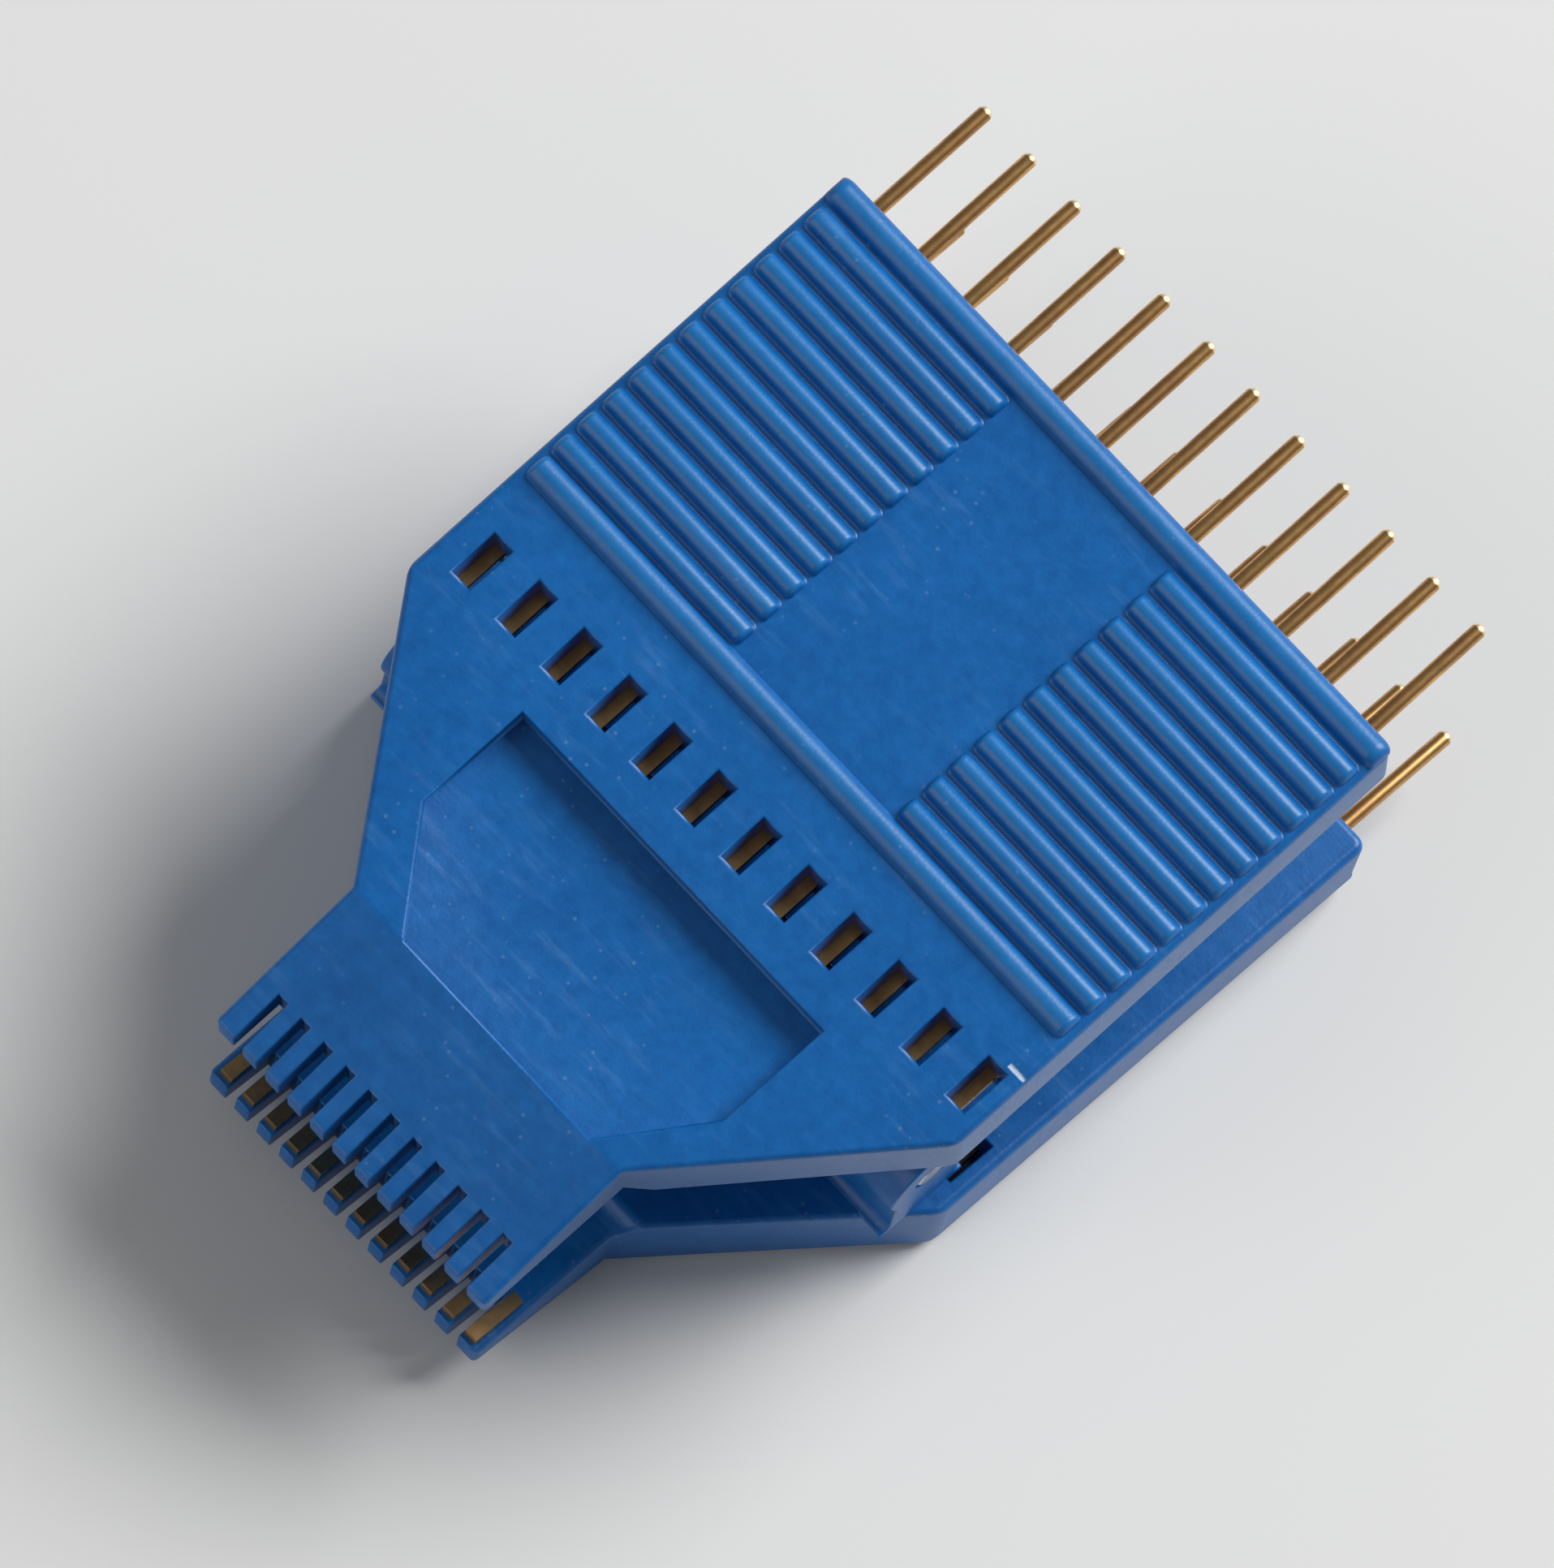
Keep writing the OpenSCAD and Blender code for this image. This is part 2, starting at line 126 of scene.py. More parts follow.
# The blue plastic of both halves: glass-filled polyester, moulded with a fine matt grain. It has
# faint rub marks from use, a little dust and one white nick beside the last window, and a painted
# highlight on its raised crests.
class Socket:
    def __init__(self, tree, out):
        self.tree = tree
        self.out = out

    def node(self, kind, settings=None, output=0, **inputs):
        made = self.tree.nodes.new(kind)
        for name, value in (settings or {}).items():
            if name == "stops":
                ramp = made.color_ramp
                for place, colour in value[1:-1]:
                    ramp.elements.new(place).color = colour
                for element, (place, colour) in zip(ramp.elements, value):
                    element.position = place
                    element.color = colour
            else:
                setattr(made, name, value)
        for name, value in inputs.items():
            key = int(name[1:]) if name[0] == "_" else name.replace("_", " ")
            for one in value if isinstance(value, list) else [value]:
                if isinstance(one, Socket):
                    self.tree.links.new(one.out, made.inputs[key])
                else:
                    made.inputs[key].default_value = one
        return Socket(self.tree, made.outputs[output])

    def maths(self, operation, a, b=0.0):
        return self.node("ShaderNodeMath", {"operation": operation}, _0=a, _1=b)

    def __add__(self, other):
        return self.maths("ADD", self, other)

    def __radd__(self, other):
        return self.maths("ADD", other, self)

    def __sub__(self, other):
        return self.maths("SUBTRACT", self, other)

    def __rsub__(self, other):
        return self.maths("SUBTRACT", other, self)

    def __mul__(self, other):
        return self.maths("MULTIPLY", self, other)

    def __rmul__(self, other):
        return self.maths("MULTIPLY", other, self)

    def __truediv__(self, other):
        return self.maths("DIVIDE", self, other)

    def __abs__(self):
        return self.maths("ABSOLUTE", self)

    def sin(self):
        return self.maths("SINE", self)

    def cos(self):
        return self.maths("COSINE", self)

    def sign(self):
        return self.maths("SIGN", self)

    def least(self, other):
        return self.maths("MINIMUM", self, other)

    def most(self, other):
        return self.maths("MAXIMUM", self, other)

    def clamped(self):
        return self.least(1.0).most(0.0)

    def ramp(self, low, high):
        span = self.node(
            "ShaderNodeMapRange", {"interpolation_type": "SMOOTHSTEP"},
            Value=self, From_Min=low, From_Max=high,
        )
        return span

    def mix(self, low, high):
        return self.node("ShaderNodeMix", {"data_type": "RGBA"}, output=2, _0=self, _6=low, _7=high)

    def parts(self):
        return [self.node("ShaderNodeSeparateXYZ", output=i, Vector=self) for i in range(3)]

    def point(self, x, y, z):
        return self.node("ShaderNodeCombineXYZ", X=x, Y=y, Z=z)


def start_material(name, **constants):
    material = bpy.data.materials.new(name)
    material.use_nodes = True
    tree = material.node_tree
    shader = tree.nodes["Principled BSDF"]
    for socket, value in constants.items():
        shader.inputs[socket.replace("_", " ")].default_value = value
    place = Socket(tree, tree.nodes.new("ShaderNodeTexCoord").outputs["Object"])
    return material, shader, place


def finish_material(shader, place, colour=None, roughness=None, height=None, depth=1e-5):
    tree = place.tree
    if colour is not None:
        tree.links.new(colour.out, shader.inputs["Base Color"])
    if roughness is not None:
        tree.links.new(roughness.out, shader.inputs["Roughness"])
    if height is not None:
        bump = place.node("ShaderNodeBump", Height=height, Distance=depth, Strength=1.0)
        tree.links.new(bump.out, shader.inputs["Normal"])


NICK_AT = (14.98, 1.43)
NICK_SIZE = (0.46, 0.08)
blue, shader, place = start_material("blue_plastic", Specular_IOR_Level=0.4)
on_face = place.node(
    "ShaderNodeMapping", {"vector_type": "TEXTURE"}, Vector=place,
    Location=face_frame.to_translation(), Rotation=(front_tilt, 0, 0),
)
across, along, height = on_face.parts()
grain = place.node("ShaderNodeTexNoise", Vector=place, Scale=7000.0, Detail=2.0)
cloud = place.node("ShaderNodeTexNoise", Vector=place, Scale=180.0, Detail=3.0)
mottle = place.node("ShaderNodeTexNoise", Vector=place, Scale=1500.0, Detail=4.0, Roughness=0.6)
rubs = None
for turn, seed, scale in ((0.6, 3.0, 230.0), (-0.8, 11.0, 300.0)):
    lean = place.node(
        "ShaderNodeMapping", Vector=on_face, Rotation=(0, 0, turn), Scale=(1.0, 6.0, 1.0)
    )
    streak = place.node(
        "ShaderNodeTexNoise", {"noise_dimensions": "4D"}, Vector=lean, W=seed, Scale=scale, Detail=3.0
    )
    band = streak.ramp(0.54, 0.74)
    rubs = band if rubs is None else rubs.most(band)
patches = place.node("ShaderNodeTexNoise", Vector=place, Scale=120.0, Detail=2.0).ramp(0.42, 0.60)
rubs = rubs * (patches * 0.7 + 0.3)
dust = place.node("ShaderNodeTexVoronoi", Vector=place, Scale=1500.0)
dust = (1.0 - dust.ramp(0.05, 0.16)) * patches
nick = (
    (1.0 - abs(across - NICK_AT[0] * MM).ramp(NICK_SIZE[0] * MM * 0.8, NICK_SIZE[0] * MM))
    * (1.0 - (abs(along - NICK_AT[1] * MM) + mottle * 0.00012).ramp(NICK_SIZE[1] * MM, NICK_SIZE[1] * MM * 2.4))
    * height.ramp(-0.0012, -0.0008)
)
tone = (cloud * 0.8 + mottle * 1.2 - 0.5).clamped()
colour = tone.mix((0.0010, 0.078, 0.285, 1), (0.0035, 0.136, 0.43, 1))
# Painted highlight: whatever stands above the face (ribs, ridge and lip) is mixed towards a paler blue, to
# brighten their crests as a broad highlight would
crest_highlight_paint = height.ramp(0.00016, 0.00042)
colour = (crest_highlight_paint * 0.30).mix(colour, (0.024, 0.225, 0.51, 1))
colour = (rubs * 0.16).mix(colour, (0.10, 0.27, 0.58, 1))
colour = (dust * 0.25).mix(colour, (0.22, 0.36, 0.55, 1))
colour = (nick * 0.8).mix(colour, (0.55, 0.68, 0.82, 1))
gloss = grain * 0.10 + mottle * 0.10 + rubs * 0.06 + 0.26
finish_material(shader, place, colour, gloss, grain + mottle * 0.6 + rubs * 0.8 - nick * 6.0, 7e-6)

# The two moulded halves. Each is one piece: a flat plate with a tapering nose, cut into fingers at
# its end, a row of windows, a shallow pocket, a ribbed grip, and hinge knuckles and spring pegs
# on its inner side. Every edge has the small round that a mould leaves.
PLATE_T = 4.0
HANDLE_END = 20.7
HALF_W = 15.5
CORNER_R = 0.5
TAPER_START = -2.2
TAPER_END = -12.3
NOSE_HALF_W = 7.62
NOSE_END = -19.5
NOSE_DROP = 1.795
NOSE_INNER = 3.1
CONTACTS = 12
HEADER_PITCH = 2.54
LEAD_PITCH = 1.27


def linked(name, mesh):
    piece = bpy.data.objects.new(name, mesh)
    bpy.context.collection.objects.link(piece)
    return piece


# A closed prism over an outline; axes gives which two axes the outline's numbers go to
def prism(name, outline, axes, low, high):
    third = 3 - sum(axes)
    form = bmesh.new()
    rings = []
    for level in (low, high):
        ring = []
        for a, b in outline:
            point = [0.0, 0.0, 0.0]
            point[axes[0]], point[axes[1]], point[third] = a * MM, b * MM, level * MM
            ring.append(form.verts.new(point))
        rings.append(ring)
    form.faces.new(rings[0])
    form.faces.new(rings[1])
    for i in range(len(outline)):
        j = (i + 1) % len(outline)
        form.faces.new((rings[0][i], rings[0][j], rings[1][j], rings[1][i]))
    bmesh.ops.recalc_face_normals(form, faces=form.faces)
    mesh = bpy.data.meshes.new(name)
    form.to_mesh(mesh)
    form.free()
    return linked(name, mesh)


# The piece's mesh with its modifiers run, in place of the live ones
def settled(piece):
    bpy.context.view_layer.update()
    mesh = bpy.data.meshes.new_from_object(piece.evaluated_get(bpy.context.evaluated_depsgraph_get()))
    piece.modifiers.clear()
    piece.data = mesh
    return piece


def carve(piece, operation, *tools):
    for tool in tools:
        cut = piece.modifiers.new("cut", "BOOLEAN")
        cut.operation = operation
        cut.object = tool
        cut.solver = "EXACT"
    settled(piece)
    for tool in tools:
        bpy.data.objects.remove(tool)


def arc(centre, radius, start, end, steps):
    return [
        (
            centre[0] + radius * math.cos(math.radians(start + (end - start) * i / steps)),
            centre[1] + radius * math.sin(math.radians(start + (end - start) * i / steps)),
        )
        for i in range(steps + 1)
    ]


# A Geometry Nodes tree with named inputs, whose result gets the material and ends the tree
def start_tree(name, **sizes):
    tree = bpy.data.node_groups.new(name, "GeometryNodeTree")
    tree.interface.new_socket("Geometry", in_out="OUTPUT", socket_type="NodeSocketGeometry")
    for key, value in sizes.items():
        kind = "NodeSocketInt" if isinstance(value, int) else "NodeSocketFloat"
        tree.interface.new_socket(key, in_out="INPUT", socket_type=kind).default_value = value
    tree.interface.new_socket("Material", in_out="INPUT", socket_type="NodeSocketMaterial")
    given = tree.nodes.new("NodeGroupInput")
    return [Socket(tree, given.outputs[key]) for key in sizes] + [Socket(tree, given.outputs["Material"])]


def finish_tree(geometry, material):
    real = geometry.node("GeometryNodeRealizeInstances", Geometry=geometry)
    real = real.node("GeometryNodeSetMaterial", Geometry=real, Material=material)
    end = geometry.tree.nodes.new("NodeGroupOutput")
    geometry.tree.links.new(real.out, end.inputs["Geometry"])
    return geometry.tree


def grown(tree, name, material, **sizes):
    piece = linked(name, bpy.data.meshes.new(name))
    grow = piece.modifiers.new("grow", "NODES")
    grow.node_group = tree
    for item in tree.interface.items_tree:
        if item.in_out == "INPUT" and item.name in sizes:
            grow[item.identifier] = sizes[item.name]
        if item.in_out == "INPUT" and item.name == "Material":
            grow[item.identifier] = material
    return settled(piece)


# A row of boxes along X, in millimetres, which cut the windows and the slots between the fingers
count, pitch, wide, long, deep, at_x, at_y, material = start_tree(
    "row_of_openings", Count=12, Pitch=2.54, Wide=1.0, Long=2.2, Deep=6.0, At_X=0.0, At_Y=0.0
)
box = count.node(
    "GeometryNodeMeshCube", Size=count.point(wide * MM, long * MM, deep * MM)
)
line = count.node(
    "GeometryNodeMeshLine", Count=count,
    Start_Location=count.point((at_x - (count - 1.0) * pitch * 0.5) * MM, at_y * MM, PLATE_T / 2 * MM),
    Offset=count.point(pitch * MM, 0.0, 0.0),
)
openings = finish_tree(
    count.node("GeometryNodeInstanceOnPoints", Points=line, Instance=box), material
)

# A row of grip ribs along Y: each a half-sunk bar with a rounded crest, a fillet at its foot that
# runs 0.01 mm under the face, and softly rounded ends
FOOT_ANGLE = math.radians(68)
count, pitch, length, radius, rise, end, toe, at_x, at_y, material = start_tree(
    "row_of_ribs", Count=11, Pitch=1.323, Length=10.7, Radius=0.5, Rise=0.45, End=0.3, Toe=1.0,
    At_X=0.0, At_Y=5.4,
)
bar = count.node(
    "GeometryNodeMeshCube", Size=(2.0, 2.0, 2.0), Vertices_X=15, Vertices_Y=23, Vertices_Z=2
)
a, b, side = count.node("GeometryNodeInputPosition").parts()
FLAT_SHARE = 1 / 7
into_end = ((abs(a) - FLAT_SHARE) / (1 - FLAT_SHARE)).clamped() * (math.pi / 2)
x = a.sign() * ((length * 0.5 - end) * (abs(a) / FLAT_SHARE).clamped() + end * into_end.sin())
ARC_SHARE = 7 / 11
around = (abs(b) / ARC_SHARE).clamped() * FOOT_ANGLE
foot_r = (radius * math.cos(FOOT_ANGLE) - radius + rise + 0.01) / (1 - math.cos(FOOT_ANGLE))
back = (1.0 - ((abs(b) - ARC_SHARE) / (1 - ARC_SHARE)).clamped()) * FOOT_ANGLE
outer_toe = (b.sign() * 0.5 + 0.5) * (toe - 1.0) + 1.0
y = b.sign() * (
    radius * around.sin() + foot_r * (math.sin(FOOT_ANGLE) - back.sin()) * outer_toe
)
z = radius * around.cos() - radius + rise + foot_r * (math.cos(FOOT_ANGLE) - back.cos()) + 0.01
narrow = 1.0 - (1.0 - into_end.cos()) * 0.35
top = side.sign() * 0.5 + 0.5
z = top * (z * into_end.cos() - 0.01) + (1.0 - top) * -0.3
shaped = count.node(
    "GeometryNodeSetPosition", Geometry=bar, Position=count.point(x * MM, y * narrow * MM, z * -MM)
)
shaped = count.node("GeometryNodeFlipFaces", Mesh=shaped)
line = count.node(
    "GeometryNodeMeshLine", Count=count, Start_Location=count.point(at_x * MM, at_y * MM, 0.0),
    Offset=count.point(0.0, pitch * MM, 0.0),
)
ribs = finish_tree(
    count.node("GeometryNodeInstanceOnPoints", Points=line, Instance=shaped), material
)

WINDOW_W, WINDOW_L, WINDOW_OFFSET = 1.0, 2.2, 0.3
SLOT_W, SLOT_L = 0.5, 2.4
POCKET_TOP, POCKET_L, POCKET_SIDE = -2.9, 9.4, 5.1
POCKET_LEFT, POCKET_RIGHT, POCKET_LOW_LEFT, POCKET_LOW_RIGHT = -8.25, 8.75, -4.7, 5.8
POCKET_DEPTH, POCKET_LOW_DEPTH = 1.3, 0.28
SPRING_X, SPRING_FROM_HINGE, SPRING_D, SPRING_WIRE = 8.5, 15.5, 4.6, 0.55
SEAT_CLEARANCE, SEAT_FLOOR_CLEARANCE, PEG_LENGTH, PEG_R = 0.15, 0.03, 2.4, 1.5
half_angle = (front_tilt - back_tilt) / 2
SEAT_TO_AXIS = (
    (HINGE_DEPTH - PLATE_T) / math.cos(half_angle) + SPRING_FROM_HINGE * math.tan(half_angle) + 1.0
)
spring_places = [
    Matrix.Translation(Vector((0, -HINGE_BELOW_WINDOWS, HINGE_DEPTH)) * MM)
    @ Matrix.Rotation(half_angle, 4, "X")
    @ Matrix.Translation(Vector((x, SPRING_FROM_HINGE, 0)) * MM)
    for x in (-SPRING_X, SPRING_X)
]


# A turned piece along its own Z: outline is a list of (radius, height)
def turned(name, outline, place, steps=40):
    form = bmesh.new()
    rings = []
    for r, h in outline:
        rings.append([
            form.verts.new((
                r * MM * math.cos(2 * math.pi * i / steps), r * MM * math.sin(2 * math.pi * i / steps), h * MM
            ))
            for i in range(steps)
        ])
    for low, high in zip(rings, rings[1:]):
        for i in range(steps):
            j = (i + 1) % steps
            form.faces.new((low[i], low[j], high[j], high[i]))
    form.faces.new(rings[0])
    form.faces.new(rings[-1])
    bmesh.ops.recalc_face_normals(form, faces=form.faces)
    mesh = bpy.data.meshes.new(name)
    form.to_mesh(mesh)
    form.free()
    mesh.transform(place)
    return linked(name, mesh)


def make_plate():
    plan = (
        arc((HALF_W - CORNER_R, HANDLE_END - CORNER_R), CORNER_R, 0, 90, 5)
        + arc((-HALF_W + CORNER_R, HANDLE_END - CORNER_R), CORNER_R, 90, 180, 5)
        + [(-HALF_W, TAPER_START), (-NOSE_HALF_W, TAPER_END), (-NOSE_HALF_W, NOSE_END)]
        + [(NOSE_HALF_W, NOSE_END), (NOSE_HALF_W, TAPER_END), (HALF_W, TAPER_START)]
    )
    plate = prism("plate", plan, (0, 1), -1, PLATE_T + 1)
    profile = [
        (HANDLE_END + 1, 0), (HANDLE_END + 1, PLATE_T), (TAPER_END + PLATE_T - NOSE_INNER, PLATE_T),
        (TAPER_END, NOSE_INNER), (NOSE_END - 1, NOSE_INNER),
        (NOSE_END - 1, NOSE_DROP * (NOSE_END - 1 - TAPER_END) / (NOSE_END - TAPER_END)), (TAPER_END, 0),
    ]
    carve(plate, "INTERSECT", prism("profile", profile, (1, 2), -HALF_W - 2, HALF_W + 2))
    windows = grown(
        openings, "windows", blue, Count=CONTACTS, Pitch=HEADER_PITCH, Wide=WINDOW_W, Long=WINDOW_L,
        At_X=WINDOW_OFFSET, At_Y=0.0,
    )
    slots = grown(
        openings, "slots", blue, Count=CONTACTS - 1, Pitch=LEAD_PITCH, Wide=SLOT_W, Long=2 * SLOT_L,
        At_X=0.0, At_Y=NOSE_END,
    )
    pocket_plan = [
        (POCKET_LEFT, POCKET_TOP), (POCKET_RIGHT, POCKET_TOP),
        (POCKET_RIGHT, POCKET_TOP - POCKET_SIDE), (POCKET_LOW_RIGHT, POCKET_TOP - POCKET_L),
        (POCKET_LOW_LEFT, POCKET_TOP - POCKET_L), (POCKET_LEFT, POCKET_TOP - POCKET_SIDE),
    ]
    pocket = prism("pocket", pocket_plan, (0, 1), -1, PLATE_T)
    floor_slope = (POCKET_DEPTH - POCKET_LOW_DEPTH) / POCKET_L
    above_floor = [
        (POCKET_TOP + 1, -2), (POCKET_TOP + 1, POCKET_DEPTH + floor_slope),
        (POCKET_TOP - POCKET_L - 1, POCKET_LOW_DEPTH - floor_slope), (POCKET_TOP - POCKET_L - 1, -2),
    ]
    carve(pocket, "INTERSECT", prism("above_floor", above_floor, (1, 2), -HALF_W, HALF_W))
    seats = [
        turned("seat", [(SPRING_D / 2 + SEAT_CLEARANCE, -SEAT_TO_AXIS), (SPRING_D / 2 + SEAT_CLEARANCE, 0)], p)
        for p in spring_places
    ]
    carve(plate, "DIFFERENCE", windows, slots, pocket, *seats)
    return plate


# How far the mould's round reaches from an edge, by where the edge lies, in millimetres
def edge_round(middle, angle):
    x, y, z = middle / MM
    in_pocket_width = POCKET_LEFT - 0.05 < x < POCKET_RIGHT + 0.05
    if in_pocket_width and POCKET_TOP - POCKET_L - 0.02 < y < POCKET_TOP + 0.02 and z < 0.05:
        return 0.17 if y < POCKET_TOP - POCKET_SIDE - 0.1 else 0.07
    if abs(y) < WINDOW_L / 2 + 0.05 and abs(x) < HALF_W - 0.3:
        return 0.20 if y < 0.05 - WINDOW_L / 2 else 0.10
    if y < NOSE_END + SLOT_L + 0.05 and abs(x) < NOSE_HALF_W - 0.05:
        return 0.18 if abs(y - NOSE_END) < 0.01 and z < PLATE_T / 2 else 0.08
    if angle < math.radians(25):
        return 0.40 if abs(y - TAPER_END) < 0.1 and z < 0.1 else 0
    if abs(x) > HALF_W - CORNER_R and y > HANDLE_END - CORNER_R:
        return 0.36
    if z > PLATE_T - 0.1 and abs(x) < HALF_W - 0.1 and TAPER_START < y < HANDLE_END - 0.1:
        return 0.10
    return 0.36 if y > TAPER_START else 0.26


# Parts the flat faces through their openings, so that none is a ring and each rounds cleanly
def part_flats(form):
    between_slots = LEAD_PITCH / 2
    seat_row = SPRING_FROM_HINGE - HINGE_BELOW_WINDOWS
    for x, y, normal in ((0, 0, (0, 1, 0)), (0, seat_row, (0, 1, 0)), (between_slots, 0, (1, 0, 0))):
        parting = bmesh.ops.bisect_plane(
            form, geom=form.verts[:] + form.edges[:] + form.faces[:], dist=0.0001 * MM,
            plane_co=Vector((x, y, 0)) * MM, plane_no=normal,
        )
        for part in parting["geom_cut"]:
            if isinstance(part, bmesh.types.BMEdge):
                part.seam = True
    bmesh.ops.dissolve_limit(
        form, angle_limit=math.radians(0.5), verts=form.verts, edges=form.edges, delimit={"SEAM"}
    )


EDGE_UNIT = 0.4


def round_edges(piece):
    form = bmesh.new()
    form.from_mesh(piece.data)
    bmesh.ops.remove_doubles(form, verts=form.verts, dist=0.0005 * MM)
    part_flats(form)
    weight = form.edges.layers.float.new("bevel_weight_edge")
    for edge in form.edges:
        if len(edge.link_faces) == 2 and edge.is_convex:
            angle = edge.calc_face_angle()
            if angle > math.radians(8):
                middle = (edge.verts[0].co + edge.verts[1].co) / 2
                edge[weight] = edge_round(middle, angle) / EDGE_UNIT
    form.to_mesh(piece.data)
    form.free()
    bevel = piece.modifiers.new("edges", "BEVEL")
    bevel.width = EDGE_UNIT * MM
    bevel.segments = 3
    bevel.limit_method = "WEIGHT"
    bevel.use_clamp_overlap = False
    bevel.loop_slide = False
    settled(piece)


RIB_R, RIB_RISE, RIB_MARGIN = 0.5, 0.45, 0.35
GRIP_FIELDS = ((-15.2, -4.55), (4.4, 15.2))
RIBS, RIDGE_AT, LIP_GAP, BROAD_R = 11, 4.1, 1.41, 0.68
LIP_AT = HANDLE_END - BROAD_R * math.sin(FOOT_ANGLE) - 0.005
RIB_PITCH = (LIP_AT - LIP_GAP - RIDGE_AT) / RIBS


def make_grip():
    common = dict(Pitch=RIB_PITCH, Rise=RIB_RISE)
    fields = [
        grown(
            ribs, "grip", blue, Count=RIBS, Length=outer - inner, At_X=(inner + outer) / 2,
            At_Y=RIDGE_AT + RIB_PITCH, Radius=RIB_R, **common
        )
        for inner, outer in GRIP_FIELDS
    ]
    ridge = grown(
        ribs, "ridge", blue, Count=1, Length=2 * (HALF_W - RIB_MARGIN), At_X=0.0, At_Y=RIDGE_AT,
        Radius=BROAD_R, **common
    )
    lip = grown(
        ribs, "lip", blue, Count=1, Length=2 * (HALF_W - 0.05), At_X=0.0, At_Y=LIP_AT, Toe=0.0, End=0.5,
        Radius=BROAD_R, **common
    )
    return fields + [ridge, lip]


KNUCKLES, KNUCKLE_GAP, KNUCKLE_INSET, KNUCKLE_R, WEB_W, WEB_FILLET = 5, 0.2, 0.9, 2.1, 3.4, 0.5
PIN_R, PIN_CLEARANCE = 0.8, 0.03
hinge_half_l = HALF_W - KNUCKLE_INSET
knuckle_w = (2 * hinge_half_l - (KNUCKLES - 1) * KNUCKLE_GAP) / KNUCKLES


def make_knuckles(first):
    centre = (-HINGE_BELOW_WINDOWS, HINGE_DEPTH)
    open_angle = math.degrees(math.asin(WEB_W / 2 / KNUCKLE_R))
    web = WEB_W / 2
    outline = (
        arc((centre[0] + web + WEB_FILLET, PLATE_T + WEB_FILLET), WEB_FILLET, 270, 180, 5)
        + arc(centre, KNUCKLE_R, -90 + open_angle, 270 - open_angle, 36)
        + arc((centre[0] - web - WEB_FILLET, PLATE_T + WEB_FILLET), WEB_FILLET, 0, -90, 5)
        + [(centre[0] - web - WEB_FILLET, PLATE_T - 0.2), (centre[0] + web + WEB_FILLET, PLATE_T - 0.2)]
    )
    pieces = []
    for i in range(first, KNUCKLES, 2):
        left = -hinge_half_l + i * (knuckle_w + KNUCKLE_GAP)
        knuckle = prism("knuckle", outline, (1, 2), left, left + knuckle_w)
        across_axis = Matrix.Translation(Vector((0, *centre)) * MM) @ Matrix.Rotation(math.pi / 2, 4, "Y")
        r = PIN_R + PIN_CLEARANCE
        carve(knuckle, "DIFFERENCE", turned("bore", [(r, -HALF_W), (r, HALF_W)], across_axis))
        bevel = knuckle.modifiers.new("edges", "BEVEL")
        bevel.width = 0.12 * MM
        bevel.segments = 2
        bevel.limit_method = "ANGLE"
        bevel.angle_limit = math.radians(50)
        pieces.append(settled(knuckle))
    return pieces


def make_pegs():
    start = -SEAT_TO_AXIS - 0.5
    end = -SEAT_TO_AXIS + PEG_LENGTH
    outline = [(PEG_R, start), (PEG_R, end - 0.4)]
    outline += [(PEG_R - 0.4 + dx, end - 0.4 + dz) for dx, dz in arc((0, 0), 0.4, 15, 90, 5)]
    return [turned("peg", outline, p) for p in spring_places]


half_places = {
    "back_half": Matrix.Translation(hinge_axis) @ Matrix.Rotation(back_tilt, 4, "X")
    @ Matrix.Translation(Vector((0, HINGE_BELOW_WINDOWS, -HINGE_DEPTH)) * MM),
    "front_half": Matrix.Translation(hinge_axis) @ face_turn @ Matrix.Diagonal((1, 1, -1, 1))
    @ Matrix.Translation(Vector((0, HINGE_BELOW_WINDOWS, -HINGE_DEPTH)) * MM),
}


# Joins the pieces of one moulding into one mesh and lays it in its half's place
def joined(name, pieces, place):
    form = bmesh.new()
    for piece in pieces:
        form.from_mesh(piece.data)
    for piece in pieces:
        bpy.data.objects.remove(piece)
    form.transform(place)
    if place.determinant() < 0:
        bmesh.ops.reverse_faces(form, faces=form.faces)
    mesh = bpy.data.meshes.new(name)
    form.to_mesh(mesh)
    form.free()
    return linked(name, mesh)


for half, first_knuckle in (("back_half", 0), ("front_half", 1)):
    plate = make_plate()
    round_edges(plate)
    moulding = joined(
        half, [plate] + make_grip() + make_knuckles(first_knuckle) + make_pegs(), half_places[half]
    )
    moulding.data.materials.clear()
    moulding.data.materials.append(blue)
    for face in moulding.data.polygons:
        face.material_index = 0
    moulding.data.shade_smooth()
    normals = moulding.modifiers.new("normals", "WEIGHTED_NORMAL")
    normals.keep_sharp = False
    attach(moulding, half)
    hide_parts(half.replace("half", "shell"))

# The twenty-four contacts: wires of gold-plated alloy, moulded into the halves. Each is a round pin
# with a domed end at the handle, a flat wire that fans in towards the nose and shows in its
# window, and a springy end behind its finger.
gold, shader, place = start_material("contact_gold", Metallic=1.0)
tarnish = place.node("ShaderNodeTexNoise", Vector=place, Scale=420.0, Detail=4.0, Roughness=0.65)
wiped = place.node("ShaderNodeTexNoise", Vector=place, Scale=2600.0, Detail=2.0)
tone = tarnish.ramp(0.35, 0.68)
# Painted highlight: the domed pin ends are coloured pale cream and made a little rougher, standing in for the
# light they catch
tip = place.node("ShaderNodeAttribute", {"attribute_name": "tip"}, output=2)
colour = tone.mix((0.72, 0.42, 0.16, 1), (0.46, 0.25, 0.10, 1))
finish_material(
    shader, place, tip.mix(colour, (0.95, 0.80, 0.52, 1)),
    tone * 0.10 + wiped * 0.12 + 0.24 + tip * 0.08, wiped, 3e-6,
)

